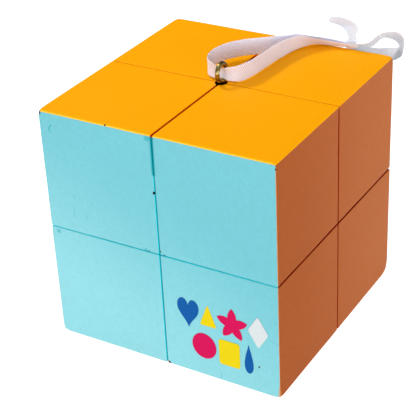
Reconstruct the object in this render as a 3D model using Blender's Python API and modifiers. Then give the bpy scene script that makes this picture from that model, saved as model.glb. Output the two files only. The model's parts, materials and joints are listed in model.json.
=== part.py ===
"""A 2x2x2 twisty puzzle cube with a hanging ring and ribbon.

The frame's origin is the middle of the base. +Z is up, -Y is the front and +X is the right side.
Inside the eight cubies is a hidden ball mechanism. Spheres about the cube's centre and planes square to its
axes bound every hidden piece, so a layer can turn about its axis without meeting the rest.
"""
import math

import bmesh
import bpy
import numpy as np
from mathutils import Matrix, Vector

MM = 0.001

# Cube
SIDE = 50.0 * MM
SEAM = 0.35 * MM               # gap between neighbouring cubies
WALL = 1.8 * MM                # cubie wall
ROUND = 0.45 * MM              # rounding of the cubies' edges
ROUND_STRIPS = 2
GAP = 0.3 * MM                 # clearance between hidden pieces
MERGE = 0.004 * MM             # slivers shorter than this are merged
FLAT_ANGLE = math.radians(0.05)
SHARP_ANGLE = math.radians(35)

# Ball mechanism
BALL = 15.4 * MM               # outside of the edges, feet and centres
HOOK_BALL = 11.4 * MM          # sphere under which the hooks pass
OUTER_CUT = 5.4 * MM           # cutting planes outside the hook sphere
INNER_CUT = 4.0 * MM           # cutting planes inside it
CORE_BALL = 5.5 * MM
ARM_RADIUS = 2.3 * MM
ARM_LENGTH = 8.0 * MM
BALL_SEGMENTS = 24
ROUND_STEPS = 16               # facets round a turned piece or a hole
NECK_HIGH = 10.29 * MM         # outer end of the neck that joins an edge piece to its hook

# Screws, springs and washers, measured along an arm from the cube's centre
SCREW_END = 3.4 * MM
SHANK_RADIUS = 1.1 * MM
HEAD_RADIUS = 2.2 * MM
HEAD_START = 13.55 * MM
HEAD_END = 14.9 * MM
HEAD_ROUND = 0.6 * MM
RECESS_LENGTH = 2.64 * MM
RECESS_WIDTH = 0.7 * MM
RECESS_DEPTH = 0.8 * MM
SEAT_START = 8.3 * MM
SEAT_END = 9.8 * MM
CUP_RADIUS = 2.9 * MM
SPRING_RADIUS = 2.25 * MM      # to the middle of the wire
SPRING_WIRE = 0.3 * MM         # radius of the wire
SPRING_START = 10.4 * MM
SPRING_END = 12.2 * MM
SPRING_TURNS = 2.5
SPRING_POINTS_PER_TURN = 12
WASHER_START = 12.75 * MM
WASHER_THICKNESS = 0.5 * MM
WASHER_OUTER = 2.5 * MM
WASHER_INNER = 1.4 * MM
WIRE_ROUNDING = 2              # facets added to each quarter of a wire

# Foot's post and the cubie's socket, measured along the cubie's diagonal
POST_RADIUS = 2.5 * MM
POST_START = 13.4 * MM
POST_END = 26.7 * MM
SOCKET_BOSS_RADIUS = 4.0 * MM
SOCKET_BOSS_START = 18.0 * MM
SOCKET_DEPTH = 27.0 * MM

# Eye screw: a ring of wire on a rod that comes up through the top seams
HANGER_HOLE = 1.2 * MM
ROD_RADIUS = 0.5 * MM
EYE_RADIUS = 1.86 * MM         # to the middle of the wire
EYE_WIRE = 0.52 * MM           # radius of the wire
EYE_HEIGHT = 2.15 * MM         # the eye's centre above the top face
EYE_STEPS = 24

# Ribbon. Distances are in millimetres, from the middle of the top face.
RIBBON_THICKNESS = 0.25 * MM
RIBBON_STEPS = 3               # strips between two of its stations
UPRIGHT = (0, 0, 1)            # its width direction where it stands on edge
LEANING = (0.2, -0.35, 0.91)
FLAT = (0.36, -0.58, 0.73)     # where it lies back over the edge
EDGE_ON = (0.46, -0.74, 0.50)

# Each station is a centre, a width direction, half a width and how far the middle is cupped.
LOOP_STATIONS = [
    ((14.3, 24.6, 0.85), EDGE_ON, 0.9, 0.0),
    ((11.8, 24.2, 0.9), EDGE_ON, 1.1, 0.0),
    ((9.0, 22.7, 1.35), FLAT, 1.4, 0.0),
    ((6.6, 19.8, 1.9), LEANING, 1.6, 0.0),
    ((5.3, 15.0, 2.0), UPRIGHT, 1.75, 0.0),
    ((4.8, 10.0, 2.0), UPRIGHT, 1.75, 0.0),
    ((4.3, 5.0, 2.0), UPRIGHT, 1.75, 0.0),
    ((3.4, 1.7, 2.0), UPRIGHT, 1.7, 0.1),
    ((1.8, 0.3, 2.05), UPRIGHT, 1.45, 0.3),
    ((0.0, 0.0, 2.15), UPRIGHT, 1.05, 0.45),
    ((-1.7, 0.3, 2.1), UPRIGHT, 1.45, 0.3),
    ((-3.6, 1.5, 2.2), UPRIGHT, 1.7, 0.1),
    ((-4.5, 4.2, 2.4), UPRIGHT, 1.75, 0.0),
    ((-3.8, 7.8, 2.6), UPRIGHT, 1.75, 0.0),
    ((-1.6, 11.4, 2.6), UPRIGHT, 1.75, 0.0),
    ((1.4, 14.4, 2.5), UPRIGHT, 1.75, 0.0),
    ((4.1, 17.2, 2.35), UPRIGHT, 1.7, 0.0),
    ((6.2, 20.4, 2.1), LEANING, 1.6, 0.0),
    ((8.7, 23.0, 1.9), FLAT, 1.4, 0.0),
    ((11.5, 24.5, 1.4), EDGE_ON, 1.1, 0.0),
    ((14.2, 24.9, 1.3), EDGE_ON, 0.9, 0.0),
]
BOW_STATIONS = [
    ((17.1, 25.3, 1.5), EDGE_ON, 0.8, 0.0),
    ((18.3, 26.3, 1.35), EDGE_ON, 0.8, 0.0),
    ((19.6, 27.4, 1.25), (0.1, 0.6, -0.75), 0.85, 0.0),
    ((20.2, 28.5, 1.9), (0.0, 0.8, -0.6), 1.3, 0.0),
    ((21.1, 29.1, 2.4), (-0.22, 0.76, -0.62), 1.75, 0.0),
    ((22.2, 29.5, 2.55), (-0.37, 0.61, -0.7), 1.75, 0.0),
    ((23.5, 29.8, 2.4), (-0.47, 0.5, -0.72), 1.75, 0.0),
    ((24.4, 30.0, 1.8), (-0.55, 0.52, -0.66), 1.75, 0.0),
    ((24.9, 30.0, 0.95), (-0.57, 0.62, -0.54), 1.75, 0.0),
    ((24.8, 30.0, -0.15), (-0.6, 0.77, -0.2), 1.75, 0.0),
    ((24.2, 30.0, -1.1), (-0.68, 0.72, 0.14), 1.75, 0.0),
    ((22.9, 30.0, -1.7), (-0.5, 0.76, 0.4), 1.75, 0.0),
    ((21.3, 30.1, -2.0), (-0.35, 0.65, 0.68), 1.45, 0.0),
    ((19.6, 30.7, -2.0), (-0.3, 0.6, 0.75), 1.2, 0.0),
    ((18.7, 30.8, -1.1), (-0.5, 0.6, 0.6), 0.9, 0.0),
    ((18.8, 30.0, 0.5), (-0.7, 0.6, 0.3), 0.7, 0.0),
    ((19.1, 28.3, 0.4), (-0.9, 0.3, 0.0), 0.7, 0.0),
    ((18.9, 26.6, 0.4), (-0.9, 0.3, 0.0), 0.8, 0.0),
    ((18.2, 25.3, 0.5), (-0.7, 0.6, -0.15), 0.8, 0.0),
    ((17.0, 24.7, 0.65), (-0.4, 0.6, -0.3), 0.7, 0.0),
]
TAIL_STATIONS = [
    ((15.8, 25.4, 2.15), (0.9, 0.4, 0.1), 0.85, 0.0),
    ((15.8, 25.6, 2.6), (0.9, 0.38, 0.1), 0.8, 0.0),
    ((15.7, 25.7, 3.2), (0.9, 0.4, 0.1), 0.95, 0.0),
    ((15.6, 25.8, 3.9), (0.95, 0.2, 0.15), 1.45, 0.0),
    ((15.1, 25.9, 4.5), (0.95, 0.05, 0.25), 1.65, 0.0),
    ((14.0, 26.0, 5.0), (0.84, -0.2, 0.5), 1.75, 0.0),
    ((12.5, 26.0, 5.25), (0.68, -0.37, 0.63), 1.75, 0.0),
    ((11.0, 26.0, 5.1), (0.47, -0.64, 0.61), 1.6, 0.0),
]
KNOT_CENTRE = (15.7, 24.7, 1.1)
KNOT_RADII = (0.85, 0.8, 0.8)
KNOT_SEGMENTS = 16

COLOURS = {
    "paint_orange": (1.0, 0.40, 0.0),
    "paint_aqua": (0.24, 0.68, 0.75),
    "paint_terracotta": (0.50, 0.15, 0.06),
    "black_plastic": (0.02, 0.02, 0.022),
    "white_plastic": (0.75, 0.76, 0.78),
    "steel": (0.55, 0.56, 0.58),
    "gold": (0.83, 0.58, 0.18),
    "white_satin": (0.86, 0.84, 0.86),
}

UNTURNED = Matrix.Identity(3).to_quaternion()
SIDES = {"right": Vector((1, 0, 0)), "left": Vector((-1, 0, 0)), "back": Vector((0, 1, 0)),
         "front": Vector((0, -1, 0)), "top": Vector((0, 0, 1)), "bottom": Vector((0, 0, -1))}


def clear_scene():
    for old in list(bpy.data.objects):
        bpy.data.objects.remove(old, do_unlink=True)


def new_collection(name):
    made = bpy.data.collections.new(name)
    bpy.context.scene.collection.children.link(made)
    return made


def move_to(obj, target):
    for holder in list(obj.users_collection):
        holder.objects.unlink(obj)
    target.objects.link(obj)


def material(name, rough, metal=0.0):
    made = bpy.data.materials.new(name)
    made.use_nodes = True
    shader = made.node_tree.nodes["Principled BSDF"]
    shader.inputs["Base Color"].default_value = (*COLOURS[name], 1.0)
    shader.inputs["Roughness"].default_value = rough
    shader.inputs["Metallic"].default_value = metal
    return made


def mesh_object(name, bm):
    """Turn a bmesh into an object among the patterns."""
    mesh = bpy.data.meshes.new(name)
    bm.to_mesh(mesh)
    bm.free()
    obj = bpy.data.objects.new(name, mesh)
    PATTERNS.objects.link(obj)
    return obj


def box(name, low, high):
    bm = bmesh.new()
    bmesh.ops.create_cube(bm, size=1.0)
    for vert in bm.verts:
        for axis in range(3):
            vert.co[axis] = low[axis] if vert.co[axis] < 0 else high[axis]
    return mesh_object(name, bm)


def ball(name, radius):
    bm = bmesh.new()
    bmesh.ops.create_uvsphere(bm, u_segments=BALL_SEGMENTS, v_segments=BALL_SEGMENTS // 2, radius=radius)
    return mesh_object(name, bm)


def cylinder(name, radius, start, end, along=Vector((0, 0, 1))):
    """A cylinder along a direction through the origin, from one distance to another."""
    bm = bmesh.new()
    bmesh.ops.create_cone(bm, cap_ends=True, segments=ROUND_STEPS, radius1=radius, radius2=radius,
                          depth=end - start)
    shift = Matrix.Translation((0, 0, (start + end) / 2))
    turn = along.to_track_quat("Z", "Y").to_matrix().to_4x4()
    bmesh.ops.transform(bm, matrix=turn @ shift, verts=bm.verts)
    return mesh_object(name, bm)


def carve(obj, operation, other):
    """Apply one exact boolean and remove the other object."""
    step = obj.modifiers.new(operation.lower(), "BOOLEAN")
    step.operation = operation
    step.solver = "EXACT"
    step.object = other
    apply_modifiers(obj)
    bpy.data.objects.remove(other, do_unlink=True)
    return obj


def apply_modifiers(obj):
    bpy.context.view_layer.update()
    evaluated = obj.evaluated_get(bpy.context.evaluated_depsgraph_get())
    mesh = bpy.data.meshes.new_from_object(evaluated)
    obj.modifiers.clear()
    old = obj.data
    obj.data = mesh
    bpy.data.meshes.remove(old)


def clean(obj):
    """Merge the slivers that a boolean leaves."""
    bm = bmesh.new()
    bm.from_mesh(obj.data)
    bmesh.ops.remove_doubles(bm, verts=bm.verts, dist=MERGE)
    bmesh.ops.dissolve_degenerate(bm, edges=bm.edges, dist=MERGE)
    bmesh.ops.dissolve_limit(bm, angle_limit=FLAT_ANGLE, verts=bm.verts, edges=bm.edges)
    bmesh.ops.triangulate(bm, faces=[face for face in bm.faces if len(face.verts) > 4])
    bm.to_mesh(obj.data)
    bm.free()
    return obj


def place(pattern, name, turn, look, shift=Vector((0, 0, 0))):
    """Put one named copy of a pattern piece in the model, turned about the cube's centre."""
    obj = bpy.data.objects.new(name, pattern.data.copy())
    obj.matrix_world = Matrix.Translation((0, 0, SIDE / 2)) @ turn.to_matrix().to_4x4()
    obj.location += shift
    finish(obj, look)
    return obj


def finish(obj, look):
    move_to(obj, PARTS)
    obj.data.materials.clear()
    obj.data.materials.append(look)
    obj.data.shade_smooth()
    obj.data.set_sharp_from_angle(angle=SHARP_ANGLE)


# ---------------------------------------------------------------- pattern pieces, about the cube's centre

def cubie_pattern(with_hole):
    """The cubie in the +X +Y +Z corner: a hollow box, open to the ball, with a socket on its diagonal."""
    inner = SEAM / 2
    outer = SIDE / 2
    shell = box("cubie_pattern", (inner,) * 3, (outer,) * 3)
    edge = shell.modifiers.new("rounding", "BEVEL")
    edge.width = ROUND
    edge.segments = ROUND_STRIPS
    apply_modifiers(shell)
    carve(shell, "DIFFERENCE", box("hollow", (inner + WALL,) * 3, (outer - WALL,) * 3))
    diagonal = Vector((1, 1, 1)).normalized()
    boss = cylinder("boss", SOCKET_BOSS_RADIUS, SOCKET_BOSS_START, SIDE, diagonal)
    carve(boss, "INTERSECT", box("boss_end", (inner + WALL / 2,) * 3, (outer - WALL / 2,) * 3))
    carve(shell, "UNION", boss)
    carve(shell, "DIFFERENCE", cylinder("socket", POST_RADIUS + GAP, 0, SOCKET_DEPTH, diagonal))
    carve(shell, "DIFFERENCE", ball("cavity", BALL + GAP))
    if with_hole:
        carve(shell, "DIFFERENCE", cylinder("hanger_hole", HANGER_HOLE, 0, SIDE))
    return clean(shell)


def foot_pattern():
    """The foot of the +X +Y +Z cubie: a wedge of the ball, its hook and its post."""
    half = GAP / 2
    foot = box("foot_pattern", (OUTER_CUT + half,) * 3, (SIDE / 2,) * 3)
    carve(foot, "INTERSECT", ball("ball", BALL))
    hook = box("hook", (INNER_CUT + half,) * 3, (SIDE / 2,) * 3)
    carve(hook, "INTERSECT", ball("hook_ball", HOOK_BALL - half))
    carve(foot, "UNION", hook)
    diagonal = Vector((1, 1, 1)).normalized()
    carve(foot, "UNION", cylinder("post", POST_RADIUS, POST_START, POST_END, diagonal))
    return clean(foot)


def edge_pattern():
    """The edge piece between +Y and +Z: an outer block, a hook and the neck that joins them."""
    half = GAP / 2
    far = SIDE / 2
    outer_half = OUTER_CUT - half
    inner_half = INNER_CUT - half
    block = box("edge_pattern", (-outer_half, OUTER_CUT + half, OUTER_CUT + half), (outer_half, far, far))
    carve(block, "INTERSECT", ball("ball", BALL))
    carve(block, "DIFFERENCE", ball("under", HOOK_BALL + half))
    hook = box("hook", (-inner_half, INNER_CUT + half, INNER_CUT + half), (inner_half, far, far))
    carve(hook, "INTERSECT", ball("hook_ball", HOOK_BALL - half))
    neck_half = inner_half - half
    neck_low = OUTER_CUT + 2 * half
    neck = box("neck", (-neck_half, neck_low, neck_low), (neck_half, NECK_HIGH, NECK_HIGH))
    carve(block, "UNION", neck)
    carve(block, "UNION", hook)
    return clean(block)


def centre_pattern():
    """The centre piece on +Z: a plate, a square stem over the core's arm, and a cup for the spring."""
    half = GAP / 2
    plate_half = OUTER_CUT - half
    stem_half = INNER_CUT - half
    plate = box("centre_pattern", (-plate_half, -plate_half, OUTER_CUT), (plate_half, plate_half, SIDE / 2))
    carve(plate, "INTERSECT", ball("ball", BALL))
    carve(plate, "DIFFERENCE", ball("under", HOOK_BALL + half))
    stem = box("stem", (-stem_half, -stem_half, INNER_CUT + half), (stem_half, stem_half, HEAD_START))
    carve(stem, "DIFFERENCE", ball("core_room", CORE_BALL + GAP))
    carve(plate, "UNION", stem)
    carve(plate, "DIFFERENCE", cylinder("arm_room", ARM_RADIUS + GAP, 0, SEAT_START))
    carve(plate, "DIFFERENCE", cylinder("cup", CUP_RADIUS, SEAT_END, SIDE / 2))
    carve(plate, "DIFFERENCE", cylinder("shank_room", SHANK_RADIUS + GAP, 0, SIDE / 2))
    return clean(plate)


def core_pattern():
    """A ball with six arms, each with a blind hole for its screw."""
    body = ball("core_pattern", CORE_BALL)
    arms = [Vector((1, 0, 0)), Vector((0, 1, 0)), Vector((0, 0, 1))]
    for arm in arms:
        carve(body, "UNION", cylinder("arm", ARM_RADIUS, -ARM_LENGTH, ARM_LENGTH, arm))
    for way in SIDES.values():
        carve(body, "DIFFERENCE", cylinder("hole", SHANK_RADIUS + GAP, SCREW_END - GAP, SIDE / 2, way))
    return clean(body)


def turned(name, profile):
    """A solid of revolution about Z. The profile runs from top to bottom, on +X."""
    bm = bmesh.new()
    verts = [bm.verts.new((radius, 0, height)) for radius, height in profile]
    for first, second in zip(verts, verts[1:]):
        bm.edges.new((first, second))
    if profile[0][0] > 0 and profile[-1][0] > 0:
        bm.edges.new((verts[-1], verts[0]))
    obj = mesh_object(name, bm)
    spin = obj.modifiers.new("turn", "SCREW")
    spin.steps = ROUND_STEPS
    spin.render_steps = ROUND_STEPS
    spin.use_merge_vertices = True
    spin.merge_threshold = 0.00001
    apply_modifiers(obj)
    return obj


def screw_profile():
    return [(0, HEAD_END), (HEAD_RADIUS - HEAD_ROUND, HEAD_END), (HEAD_RADIUS, HEAD_END - HEAD_ROUND),
            (HEAD_RADIUS, HEAD_START), (SHANK_RADIUS, HEAD_START), (SHANK_RADIUS, SCREW_END + HEAD_ROUND),
            (SHANK_RADIUS / 2, SCREW_END), (0, SCREW_END)]


def screw_pattern():
    """A pan-head screw with a cross recess."""
    screw = turned("screw_pattern", screw_profile())
    for long_axis in range(2):
        low = [-RECESS_WIDTH / 2] * 2 + [HEAD_END - RECESS_DEPTH]
        high = [RECESS_WIDTH / 2] * 2 + [HEAD_END + RECESS_DEPTH]
        low[long_axis] = -RECESS_LENGTH / 2
        high[long_axis] = RECESS_LENGTH / 2
        carve(screw, "DIFFERENCE", box("recess", low, high))
    return clean(screw)


def washer_pattern():
    top = WASHER_START + WASHER_THICKNESS
    return turned("washer_pattern", [(WASHER_OUTER, top), (WASHER_OUTER, WASHER_START),
                                     (WASHER_INNER, WASHER_START), (WASHER_INNER, top)])


def curve_mesh(name, points, radius, closed=False):
    """A round wire through a list of points, as a closed mesh."""
    curve = bpy.data.curves.new(name, "CURVE")
    curve.dimensions = "3D"
    curve.bevel_depth = radius
    curve.bevel_resolution = WIRE_ROUNDING
    curve.use_fill_caps = not closed
    spline = curve.splines.new("POLY")
    spline.points.add(len(points) - 1)
    for point, place_at in zip(spline.points, points):
        point.co = (*place_at, 1.0)
    spline.use_cyclic_u = closed
    wire = bpy.data.objects.new(name + "_curve", curve)
    PATTERNS.objects.link(wire)
    bpy.context.view_layer.update()
    evaluated = wire.evaluated_get(bpy.context.evaluated_depsgraph_get())
    mesh = bpy.data.meshes.new_from_object(evaluated)
    bm = bmesh.new()
    bm.from_mesh(mesh)
    bmesh.ops.remove_doubles(bm, verts=bm.verts, dist=0.001 * MM)
    bmesh.ops.recalc_face_normals(bm, faces=bm.faces)
    bpy.data.meshes.remove(mesh)
    bpy.data.objects.remove(wire, do_unlink=True)
    return mesh_object(name, bm)


def spring_pattern():
    steps = int(SPRING_TURNS * SPRING_POINTS_PER_TURN)
    points = []
    for step in range(steps + 1):
        angle = 2 * math.pi * step / SPRING_POINTS_PER_TURN
        height = SPRING_START + (SPRING_END - SPRING_START) * step / steps
        points.append(Vector((SPRING_RADIUS * math.cos(angle), SPRING_RADIUS * math.sin(angle), height)))
    return curve_mesh("spring_pattern", points, SPRING_WIRE)


# ---------------------------------------------------------------- placing the pieces

def turn_to(first, second):
    """The rotation that takes +Z to one side's direction and +Y to another's."""
    across = second.cross(first)
    return Matrix((across, second, first)).transposed().to_quaternion()


def opposite(side):
    pairs = [("right", "left"), ("back", "front"), ("top", "bottom")]
    for one, other in pairs:
        if side in (one, other):
            return other if side == one else one


def build_cubies():
    plain = cubie_pattern(False)
    holed = cubie_pattern(True)
    foot = foot_pattern()
    for level in ("top", "bottom"):
        for depth in ("front", "back"):
            for hand in ("left", "right"):
                corner = SIDES[level] + SIDES[depth] + SIDES[hand]
                name = f"{level}_{depth}_{hand}"
                turn = corner_turn(corner)
                pattern = holed if level == "top" else plain
                lower_paint = "paint_aqua" if depth == "front" else "paint_terracotta"
                paint = "paint_orange" if level == "top" else lower_paint
                place(pattern, "cubie_" + name, turn, LOOKS[paint])
                place(foot, "foot_" + name, turn, LOOKS["black_plastic"])


def corner_turn(corner):
    """The rotation that takes the (1, 1, 1) corner to another and keeps Z upright or upside down."""
    for level in (0, 1):
        flip = Matrix.Rotation(math.pi * level, 3, "X")
        for quarter in range(4):
            turn = Matrix.Rotation(math.pi / 2 * quarter, 3, "Z") @ flip
            if (turn @ Vector((1, 1, 1)) - corner).length < 0.1:
                return turn.to_quaternion()


def build_edges():
    pattern = edge_pattern()
    names = list(SIDES)
    for index, first in enumerate(names):
        for second in names[index + 1:]:
            if second == opposite(first):
                continue
            place(pattern, f"edge_{second}_{first}", turn_to(SIDES[first], SIDES[second]),
                  LOOKS["black_plastic"])


def build_centres():
    centre = centre_pattern()
    screw = screw_pattern()
    washer = washer_pattern()
    spring = spring_pattern()
    for side, way in SIDES.items():
        beside = SIDES["back"] if side in ("top", "bottom") else SIDES["top"]
        turn = turn_to(way, beside)
        place(centre, "centre_" + side, turn, LOOKS["black_plastic"])
        place(washer, "washer_" + side, turn, LOOKS["steel"])
        place(spring, "spring_" + side, turn, LOOKS["steel"])
        if side != "top":
            place(screw, "screw_" + side, turn, LOOKS["steel"])


def build_eye_screw():
    """A screw through the top centre, whose head carries a rod and the ring for the ribbon."""
    top = SIDE / 2
    bottom_of_eye = top + EYE_HEIGHT - EYE_RADIUS
    profile = screw_profile()
    profile[:1] = [(0, bottom_of_eye), (ROD_RADIUS, bottom_of_eye), (ROD_RADIUS, HEAD_END)]
    screw = turned("eye_screw_pattern", profile)
    centre = Vector((0, 0, top + EYE_HEIGHT))
    circle = []
    for step in range(EYE_STEPS):
        angle = 2 * math.pi * step / EYE_STEPS
        circle.append(centre + EYE_RADIUS * Vector((0, math.cos(angle), math.sin(angle))))
    carve(screw, "UNION", curve_mesh("eye", circle, EYE_WIRE, closed=True))
    clean(screw)
    place(screw, "eye_screw", UNTURNED, LOOKS["gold"])


# ---------------------------------------------------------------- ribbon

def smooth_rows(rows, steps):
    """Catmull-Rom interpolation through rows of numbers, which passes through every row."""
    ends = [rows[0]] + rows + [rows[-1]]
    made = []
    for index in range(len(rows) - 1):
        before, start, end, after = (np.array(row) for row in ends[index:index + 4])
        for step in range(steps):
            t = step / steps
            made.append(0.5 * (2 * start + (end - before) * t
                               + (2 * before - 5 * start + 4 * end - after) * t ** 2
                               + (3 * start - before - 3 * end + after) * t ** 3))
    made.append(np.array(rows[-1]))
    return made


def ribbon(name, stations):
    """A strip that runs through its stations, given thickness afterwards."""
    rows = [(*centre, *width, half, cup) for centre, width, half, cup in stations]
    smooth = smooth_rows(rows, RIBBON_STEPS)
    bm = bmesh.new()
    grid = []
    for index, row in enumerate(smooth):
        centre = Vector(row[0:3])
        width = Vector(row[3:6]).normalized()
        ahead = Vector(smooth[min(index + 1, len(smooth) - 1)][0:3])
        behind = Vector(smooth[max(index - 1, 0)][0:3])
        normal = (ahead - behind).cross(width).normalized()
        line = [centre - width * row[6], centre + normal * row[7], centre + width * row[6]]
        grid.append([bm.verts.new(point * MM) for point in line])
    for first, second in zip(grid, grid[1:]):
        for side in range(2):
            bm.faces.new((first[side], first[side + 1], second[side + 1], second[side]))
    strip = mesh_object(name + "_strip", bm)
    thick = strip.modifiers.new("thickness", "SOLIDIFY")
    thick.thickness = RIBBON_THICKNESS
    thick.offset = 0
    apply_modifiers(strip)
    return strip


def build_ribbon():
    top = Vector((0, 0, SIDE / 2))
    lengths = {"ribbon_loop": LOOP_STATIONS, "ribbon_bow": BOW_STATIONS, "ribbon_tail": TAIL_STATIONS}
    for name, stations in lengths.items():
        place(ribbon(name, stations), name, UNTURNED, LOOKS["white_satin"], top)
    bm = bmesh.new()
    bmesh.ops.create_uvsphere(bm, u_segments=KNOT_SEGMENTS, v_segments=KNOT_SEGMENTS // 2, radius=MM)
    bmesh.ops.scale(bm, vec=KNOT_RADII, verts=bm.verts)
    bmesh.ops.translate(bm, vec=Vector(KNOT_CENTRE) * MM, verts=bm.verts)
    place(mesh_object("knot_pattern", bm), "ribbon_knot", UNTURNED, LOOKS["white_satin"], top)


clear_scene()
PARTS = new_collection("puzzle_cube")
PATTERNS = new_collection("patterns")
LOOKS = {
    "paint_orange": material("paint_orange", 0.5),
    "paint_aqua": material("paint_aqua", 0.5),
    "paint_terracotta": material("paint_terracotta", 0.5),
    "white_plastic": material("white_plastic", 0.4),
    "black_plastic": material("black_plastic", 0.4),
    "steel": material("steel", 0.35, 1.0),
    "gold": material("gold", 0.25, 1.0),
    "white_satin": material("white_satin", 0.4),
}
build_cubies()
build_edges()
build_centres()
place(core_pattern(), "core", UNTURNED, LOOKS["white_plastic"])
build_eye_screw()
build_ribbon()
for pattern in list(PATTERNS.objects):
    bpy.data.objects.remove(pattern, do_unlink=True)
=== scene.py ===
"""The looks of the twisty puzzle cube: painted cubies, a gold eye and a satin ribbon."""
import json
import math

import bmesh
import bpy
import numpy as np
from mathutils import Matrix, Vector, noise


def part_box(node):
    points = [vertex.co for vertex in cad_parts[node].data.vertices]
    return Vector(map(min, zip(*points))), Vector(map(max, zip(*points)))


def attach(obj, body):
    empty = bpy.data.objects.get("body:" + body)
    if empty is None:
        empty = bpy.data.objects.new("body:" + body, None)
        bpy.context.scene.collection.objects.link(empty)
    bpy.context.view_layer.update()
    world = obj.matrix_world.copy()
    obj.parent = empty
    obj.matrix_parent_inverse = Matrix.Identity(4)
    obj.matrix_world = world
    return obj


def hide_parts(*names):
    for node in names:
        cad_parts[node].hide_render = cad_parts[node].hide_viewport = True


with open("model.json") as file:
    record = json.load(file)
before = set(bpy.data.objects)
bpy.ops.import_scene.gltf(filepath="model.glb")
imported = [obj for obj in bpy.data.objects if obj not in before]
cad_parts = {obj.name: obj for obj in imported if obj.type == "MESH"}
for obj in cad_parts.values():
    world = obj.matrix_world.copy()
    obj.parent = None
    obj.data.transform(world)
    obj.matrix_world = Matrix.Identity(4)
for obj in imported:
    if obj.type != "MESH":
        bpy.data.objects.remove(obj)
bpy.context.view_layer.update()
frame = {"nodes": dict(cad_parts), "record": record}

MM = 0.001

# ---------------------------------------------------------------- read from the frame

RECORD = frame["record"]
NODE_SLOT = {entry["node"]: entry["material_slot"] for entry in RECORD["subparts"]}
NODE_BODY = {node: body for body, nodes in RECORD["behaviour"]["bodies"].items() for node in nodes}

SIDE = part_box("cubie_top_back_right")[1].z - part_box("cubie_bottom_front_left")[0].z
HALF = SIDE / 2
CENTRE = Vector((0, 0, HALF))
TOP = Vector((0, 0, SIDE))

# ---------------------------------------------------------------- shapes

# Cubies
WALL = 1.8 * MM
CAVITY = 15.7 * MM             # radius of the room for the ball mechanism
HANGER_HOLE = 1.15 * MM
HANGER_OFFSET = Vector((0.15, -0.1, 0)) * MM
EDGE_ROUND = 0.22 * MM
SEAM_ROUND = 0.16 * MM         # where two cubies meet
CORNER_ROUND = 0.62 * MM       # at the cube's own eight corners
CORNER_REACH = 1.6 * MM
WORN_CORNER = Vector((HALF, HALF, 0))    # at the back right of the base, it is worn rounder
WORN_ROUND = 1.1 * MM
WORN_REACH = 2.6 * MM
# Paint nearly closes the front's seams and the top's seam from left to right
LIP = 0.14 * MM
LIP_DEPTH = 0.7 * MM
THIN_LIP = 0.6                 # share of the lip beside the front's upright seam
GRID_CUTS = 26
GRID_CROWDING = 0.88           # how much the grid lines crowd towards a cubie's edges
PAINT_SWELL = 0.035 * MM       # unevenness of the paint
PAINT_SWELL_SIZE = 7.0 * MM

# Eye screw
EYE_RADIUS = 1.72 * MM
EYE_WIRE = 0.46 * MM
EYE_HEIGHT = 2.08 * MM
ROD_RADIUS = 0.5 * MM
HEAD_START = CENTRE.z + 13.55 * MM
HEAD_END = CENTRE.z + 14.9 * MM
HEAD_RADIUS = 2.2 * MM
SHANK_RADIUS = 1.1 * MM
EYE_ASIDE = 0.34 * MM          # the ring stands slightly to the right of the screw
EYE_LEAN = -0.04
EYE_FOOT = 0.6 * MM            # the foot's straight part below the ring
EYE_BEND = 2.5 * MM            # where the rod is back on the screw's axis
EYE_STEPS = 96
EYE_SIDES = 24
ROD_SIDES = 20
# The screw's domed head: a depth below its end, in millimetres, and a share of its radius
HEAD_DOME = [(0.0, 0.72), (0.1, 0.84), (0.35, 0.97), (0.6, 1.0)]
SHANK_TIP = 0.6 * MM

# Ribbon. Distances are in millimetres, from the middle of the top face, as in the frame's ribbon.
RIBBON_THICKNESS = 0.2
SELVEDGE = 0.16                # radius of the firmer edge
RIBBON_STEPS = 14              # rows between two of its stations
RIBBON_COLUMNS = 14
SELVEDGE_START = 0.86          # share of half the width where the firmer edge begins
RIPPLE = 0.035                 # the edges' regular ripple, its length, and their uneven one
RIPPLE_LENGTH = 0.95
UNEVEN_EDGE = 0.05
UNEVEN_EDGE_SCALE = 1.3
RIB_PITCH = 0.55               # the satin's slanting ribs, how much they slant, and its threads
RIB_SLANT = 0.8
THREAD_PITCH = 0.24
UPRIGHT = (0, 0, 1)
LEANING = (0.1, -0.18, 0.98)
FLAT = (0.36, -0.58, 0.73)
EDGE_ON = (0.15, -0.62, 0.77)
FACING_DOWN = (0.1, 0.6, -0.75)
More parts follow.
